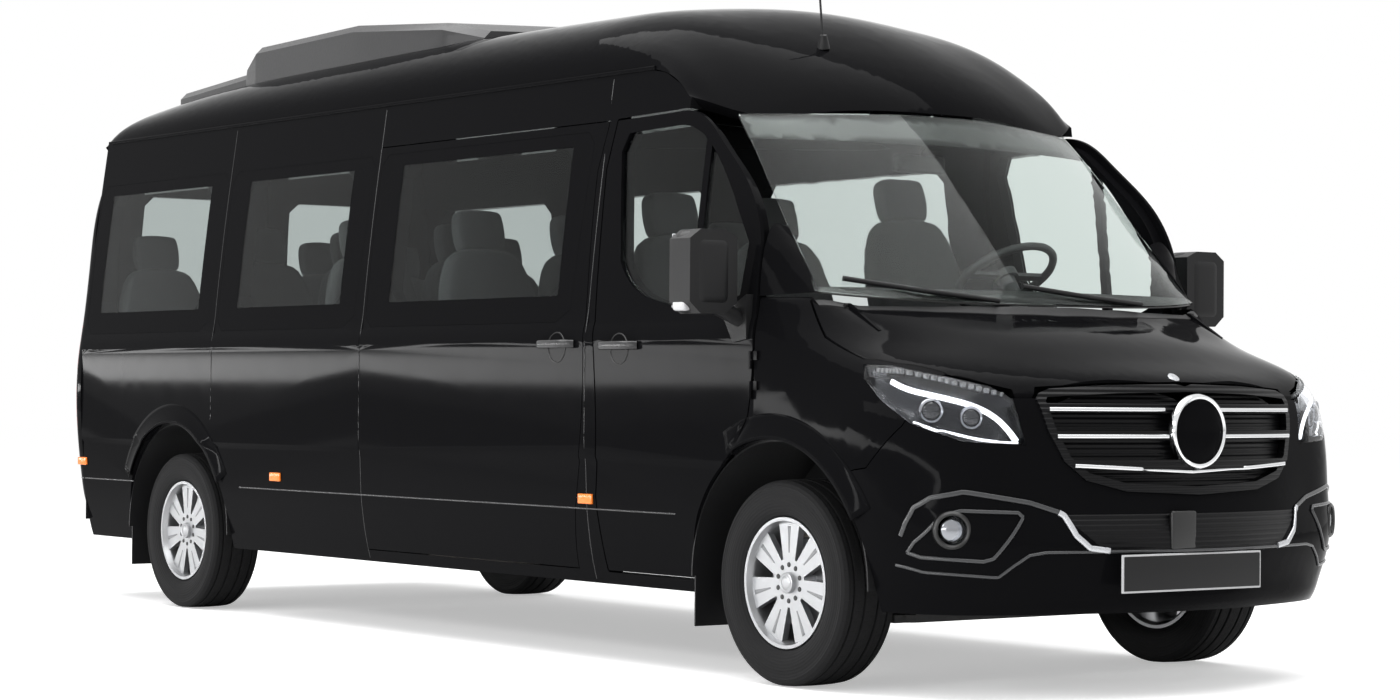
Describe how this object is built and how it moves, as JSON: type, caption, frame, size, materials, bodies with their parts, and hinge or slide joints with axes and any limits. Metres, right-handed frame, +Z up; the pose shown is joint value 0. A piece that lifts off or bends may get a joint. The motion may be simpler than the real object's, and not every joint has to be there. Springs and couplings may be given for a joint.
{
  "type": "minibus",
  "caption": "Long-wheelbase high-roof minibus with hinged cab doors, rear doors and bonnet, steered front wheels and a roof air conditioner.",
  "frame": {"origin": "middle of the footprint, on the ground under the body", "axes": "+X forwards, +Y to the vehicle's left, +Z up"},
  "size_m": [6.4303, 2.5, 2.5449],
  "materials": {
    "body_paint": "gloss",
    "chassis_steel": "satin",
    "engine_iron": "matte",
    "axle_steel": "matte",
    "exhaust_steel": "satin",
    "glass": "gloss",
    "tinted_glass": "gloss",
    "lamp_clear": "gloss",
    "lamp_red": "gloss",
    "trim_plastic": "matte",
    "grille_chrome": "gloss",
    "alloy": "satin",
    "tyre_rubber": "matte",
    "seat_cloth": "matte",
    "dash_plastic": "matte",
    "wheel_leather": "satin",
    "floor_rubber": "matte"
  },
  "bodies": {
    "body": {"floor": "floor_rubber", "chassis_rails": "chassis_steel", "body_side_left": "body_paint", "body_side_right": "body_paint", "sliding_door": "body_paint", "roof": "body_paint", "rear_frame": "body_paint", "front_frame": "body_paint", "front_wings": "body_paint", "front_bumper": "body_paint", "scuttle": "trim_plastic", "grille": "grille_chrome", "front_lamps": "lamp_clear", "windscreen": "glass", "side_glass_left": "tinted_glass", "side_glass_right": "tinted_glass", "tail_lamps": "lamp_red", "rear_bumper": "trim_plastic", "wheel_liners": "trim_plastic", "engine": "engine_iron", "front_suspension": "axle_steel", "rear_axle": "axle_steel", "fuel_tank": "trim_plastic", "exhaust": "exhaust_steel", "dashboard": "dash_plastic", "steering_wheel": "wheel_leather", "front_seats": "seat_cloth", "passenger_seats": "seat_cloth", "air_conditioner": "body_paint", "antenna": "trim_plastic", "wipers": "trim_plastic"},
    "front_door_left": {"front_door_left": "body_paint", "front_door_glass_left": "glass", "mirror_left": "trim_plastic"},
    "front_door_right": {"front_door_right": "body_paint", "front_door_glass_right": "glass", "mirror_right": "trim_plastic"},
    "rear_door_left": {"rear_door_left": "body_paint", "rear_door_glass_left": "tinted_glass"},
    "rear_door_right": {"rear_door_right": "body_paint", "rear_door_glass_right": "tinted_glass"},
    "bonnet": {"bonnet": "body_paint"},
    "knuckle_left": {"knuckle_left": "axle_steel"},
    "knuckle_right": {"knuckle_right": "axle_steel"},
    "wheel_front_left": {"tyre_front_left": "tyre_rubber", "rim_front_left": "alloy"},
    "wheel_front_right": {"tyre_front_right": "tyre_rubber", "rim_front_right": "alloy"},
    "wheel_rear_left": {"tyre_rear_left": "tyre_rubber", "rim_rear_left": "alloy"},
    "wheel_rear_right": {"tyre_rear_right": "tyre_rubber", "rim_rear_right": "alloy"}
  },
  "joints": [
    {"name": "front_door_left_hinge", "type": "hinge", "parent": "body", "child": "front_door_left", "pos_m": [2.1115, 1.018, 1.045], "axis": [0, 0, -1], "range_deg": [0, 70]},
    {"name": "front_door_right_hinge", "type": "hinge", "parent": "body", "child": "front_door_right", "pos_m": [2.1115, -1.018, 1.045], "axis": [0, 0, 1], "range_deg": [0, 70]},
    {"name": "rear_door_left_hinge", "type": "hinge", "parent": "body", "child": "rear_door_left", "pos_m": [-3.203, 0.8, 1.25], "axis": [0, 0, -1], "range_deg": [0, 180]},
    {"name": "rear_door_right_hinge", "type": "hinge", "parent": "body", "child": "rear_door_right", "pos_m": [-3.203, -0.8, 1.25], "axis": [0, 0, 1], "range_deg": [0, 180]},
    {"name": "bonnet_hinge", "type": "hinge", "parent": "body", "child": "bonnet", "pos_m": [2.352, 0, 1.264], "axis": [0, -1, 0], "range_deg": [0, 50]},
    {"name": "steering_left", "type": "hinge", "parent": "body", "child": "knuckle_left", "pos_m": [2.215, 0.76, 0.343], "axis": [0, 0, 1], "range_deg": [-35, 35]},
    {"name": "steering_right", "type": "hinge", "parent": "body", "child": "knuckle_right", "pos_m": [2.215, -0.76, 0.343], "axis": [0, 0, 1], "range_deg": [-35, 35]},
    {"name": "wheel_front_left_spin", "type": "hinge", "parent": "knuckle_left", "child": "wheel_front_left", "pos_m": [2.215, 0.855, 0.343], "axis": [0, 1, 0], "continuous": true},
    {"name": "wheel_front_right_spin", "type": "hinge", "parent": "knuckle_right", "child": "wheel_front_right", "pos_m": [2.215, -0.855, 0.343], "axis": [0, 1, 0], "continuous": true},
    {"name": "wheel_rear_left_spin", "type": "hinge", "parent": "body", "child": "wheel_rear_left", "pos_m": [-2.11, 0.855, 0.343], "axis": [0, 1, 0], "continuous": true},
    {"name": "wheel_rear_right_spin", "type": "hinge", "parent": "body", "child": "wheel_rear_right", "pos_m": [-2.11, -0.855, 0.343], "axis": [0, 1, 0], "continuous": true}
  ],
  "couplings": [
    {"joint": "steering_right", "follows": "steering_left", "ratio": 1}
  ]
}
